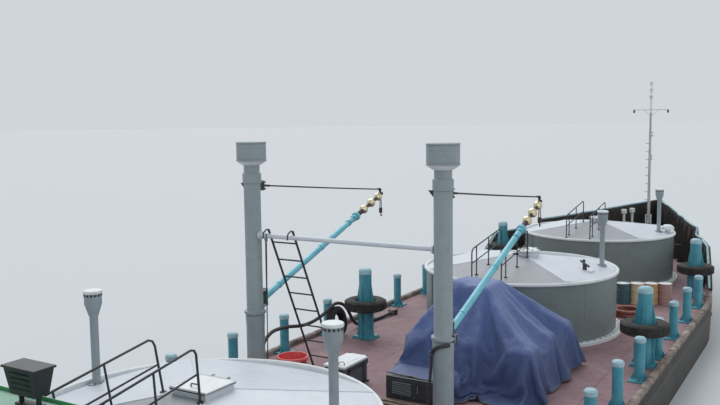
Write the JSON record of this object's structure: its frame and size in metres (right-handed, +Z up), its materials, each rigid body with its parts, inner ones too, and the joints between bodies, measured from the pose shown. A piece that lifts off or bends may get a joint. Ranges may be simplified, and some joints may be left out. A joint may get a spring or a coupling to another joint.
{
  "type": "river cleaning vessel",
  "caption": "Flat-decked self-propelled river tank vessel that collects waste water and oil: round deck tanks, hose booms, bow mast, aft deckhouse.",
  "frame": {"origin": "middle of the flat keel plane, halfway between stem and transom", "axes": "+Y to the bow, +X to starboard, +Z up"},
  "size_m": [8.06, 39.6, 10.3],
  "materials": {
    "hull_paint": "worn dark anti-rust paint over steel plate",
    "deck_paint": "worn red-brown deck paint",
    "grey_paint": "satin grey enamel",
    "tank_paint": "satin grey enamel, lighter on the roof",
    "lid_paint": "gloss pale grey enamel",
    "blue_paint": "gloss turquoise enamel, chipped",
    "boom_paint": "gloss light blue enamel",
    "white_paint": "gloss white enamel",
    "green_paint": "matt pale green enamel",
    "dark_steel": "matt black enamel",
    "brass": "dull brass",
    "bronze": "cast bronze",
    "tyre_rubber": "worn black rubber",
    "red_plastic": "moulded red plastic",
    "tarpaulin": "woven coated blue tarpaulin",
    "drum_paint": "faded drum enamel",
    "black_hose": "ribbed black rubber hose",
    "red_hose": "red-brown rubber hose",
    "cream_rope": "laid synthetic rope, soiled"
  },
  "bodies": {
    "vessel": {"hull": "hull_paint", "bulwark_port": "hull_paint", "bulwark_starboard": "hull_paint", "forecastle": "deck_paint", "gunwale_port": "blue_paint", "gunwale_starboard": "blue_paint", "tank_forward": "tank_paint", "tank_middle": "tank_paint", "tank_aft": "tank_paint", "kingpost_port": "grey_paint", "kingpost_starboard": "grey_paint", "kingpost_crossbar": "grey_paint", "ladder": "dark_steel", "hatch_box": "grey_paint", "red_tub": "red_plastic", "waste_drums": "drum_paint", "tarp_cover": "tarpaulin", "pump_box": "dark_steel", "suction_hose": "black_hose", "kingpost_hose": "black_hose", "wash_hose_coil": "red_hose", "mooring_rope": "cream_rope", "bitt_port": "blue_paint", "bitt_starboard": "blue_paint", "bitt_bow_port": "blue_paint", "bitt_bow_starboard": "blue_paint", "tyre_port": "tyre_rubber", "tyre_starboard": "tyre_rubber", "tyre_bow_port": "tyre_rubber", "tyre_bow_starboard": "tyre_rubber", "tyre_leaning": "tyre_rubber", "windlass_bed": "grey_paint", "deckhouse": "white_paint", "deckhouse_roof": "green_paint", "wheelhouse": "white_paint", "wheelhouse_roof": "green_paint", "helm_console": "dark_steel", "signal_mast_step": "dark_steel", "funnel": "grey_paint", "floodlight": "dark_steel"},
    "lid_forward": {"lid_forward": "lid_paint"},
    "lid_middle": {"lid_middle": "lid_paint"},
    "lid_aft": {"lid_aft": "lid_paint"},
    "hatch_lid": {"hatch_lid": "lid_paint"},
    "boom_port": {"boom_port": "boom_paint", "hose_coupling_port": "brass", "topping_lift_port": "dark_steel"},
    "boom_starboard": {"boom_starboard": "boom_paint", "hose_coupling_starboard": "brass", "topping_lift_starboard": "dark_steel"},
    "bow_mast": {"bow_mast": "white_paint"},
    "windlass_drum": {"windlass_drum": "dark_steel"},
    "deckhouse_door": {"deckhouse_door": "white_paint"},
    "wheelhouse_door_port": {"wheelhouse_door_port": "white_paint"},
    "wheelhouse_door_starboard": {"wheelhouse_door_starboard": "white_paint"},
    "signal_mast": {"signal_mast": "white_paint"},
    "propeller_port": {"propeller_port": "bronze"},
    "propeller_starboard": {"propeller_starboard": "bronze"},
    "rudder_port": {"rudder_port": "hull_paint"},
    "rudder_starboard": {"rudder_starboard": "hull_paint"}
  },
  "joints": [
    {"name": "lid_forward_hinge", "type": "hinge", "parent": "vessel", "child": "lid_forward", "pos_m": [0, 10.175, 4.2963], "axis": [-1, 0, 0], "range_deg": [0, 100]},
    {"name": "lid_middle_hinge", "type": "hinge", "parent": "vessel", "child": "lid_middle", "pos_m": [0.22, 2.775, 4.2963], "axis": [-1, 0, 0], "range_deg": [0, 100]},
    {"name": "lid_aft_hinge", "type": "hinge", "parent": "vessel", "child": "lid_aft", "pos_m": [0.05, -9.095, 4.2413], "axis": [-1, 0, 0], "range_deg": [0, 100]},
    {"name": "hatch_lid_hinge", "type": "hinge", "parent": "vessel", "child": "hatch_lid", "pos_m": [-1.2525, -3.415, 2.8953], "axis": [-1, 0, 0], "range_deg": [0, 95]},
    {"name": "boom_port_slew", "type": "hinge", "parent": "vessel", "child": "boom_port", "pos_m": [-1.822, -5.68, 4.47], "axis": [0, 0, 1], "range_deg": [0, 110]},
    {"name": "boom_starboard_slew", "type": "hinge", "parent": "vessel", "child": "boom_starboard", "pos_m": [1.822, -5.68, 4.33], "axis": [0, 0, -1], "range_deg": [0, 110]},
    {"name": "bow_mast_fold", "type": "hinge", "parent": "vessel", "child": "bow_mast", "pos_m": [0, 17.67, 3.48], "axis": [1, 0, 0], "range_deg": [0, 75]},
    {"name": "windlass_drum_turn", "type": "hinge", "parent": "vessel", "child": "windlass_drum", "pos_m": [0, 15.8, 3.25], "axis": [1, 0, 0], "continuous": true},
    {"name": "deckhouse_door_hinge", "type": "hinge", "parent": "vessel", "child": "deckhouse_door", "pos_m": [-1.756, -18.21, 3.5], "axis": [0, 0, -1], "range_deg": [0, 105]},
    {"name": "wheelhouse_door_port_hinge", "type": "hinge", "parent": "vessel", "child": "wheelhouse_door_port", "pos_m": [-1.81, -15.744, 6.3], "axis": [0, 0, -1], "range_deg": [0, 105]},
    {"name": "wheelhouse_door_starboard_hinge", "type": "hinge", "parent": "vessel", "child": "wheelhouse_door_starboard", "pos_m": [1.81, -15.744, 6.3], "axis": [0, 0, 1], "range_deg": [0, 105]},
    {"name": "signal_mast_fold", "type": "hinge", "parent": "vessel", "child": "signal_mast", "pos_m": [0, -16.3, 7.63], "axis": [1, 0, 0], "range_deg": [0, 80]},
    {"name": "propeller_port_turn", "type": "hinge", "parent": "vessel", "child": "propeller_port", "pos_m": [-1.45, -17.45, 0.69], "axis": [0, 1, 0], "continuous": true},
    {"name": "propeller_starboard_turn", "type": "hinge", "parent": "vessel", "child": "propeller_starboard", "pos_m": [1.45, -17.45, 0.69], "axis": [0, 1, 0], "continuous": true},
    {"name": "rudder_port_steer", "type": "hinge", "parent": "vessel", "child": "rudder_port", "pos_m": [-1.45, -18.35, 1.2], "axis": [0, 0, 1], "range_deg": [-35, 35]},
    {"name": "rudder_starboard_steer", "type": "hinge", "parent": "vessel", "child": "rudder_starboard", "pos_m": [1.45, -18.35, 1.2], "axis": [0, 0, 1], "range_deg": [-35, 35]}
  ],
  "couplings": [
    {"joint": "rudder_starboard_steer", "follows": "rudder_port_steer", "ratio": 1}
  ]
}
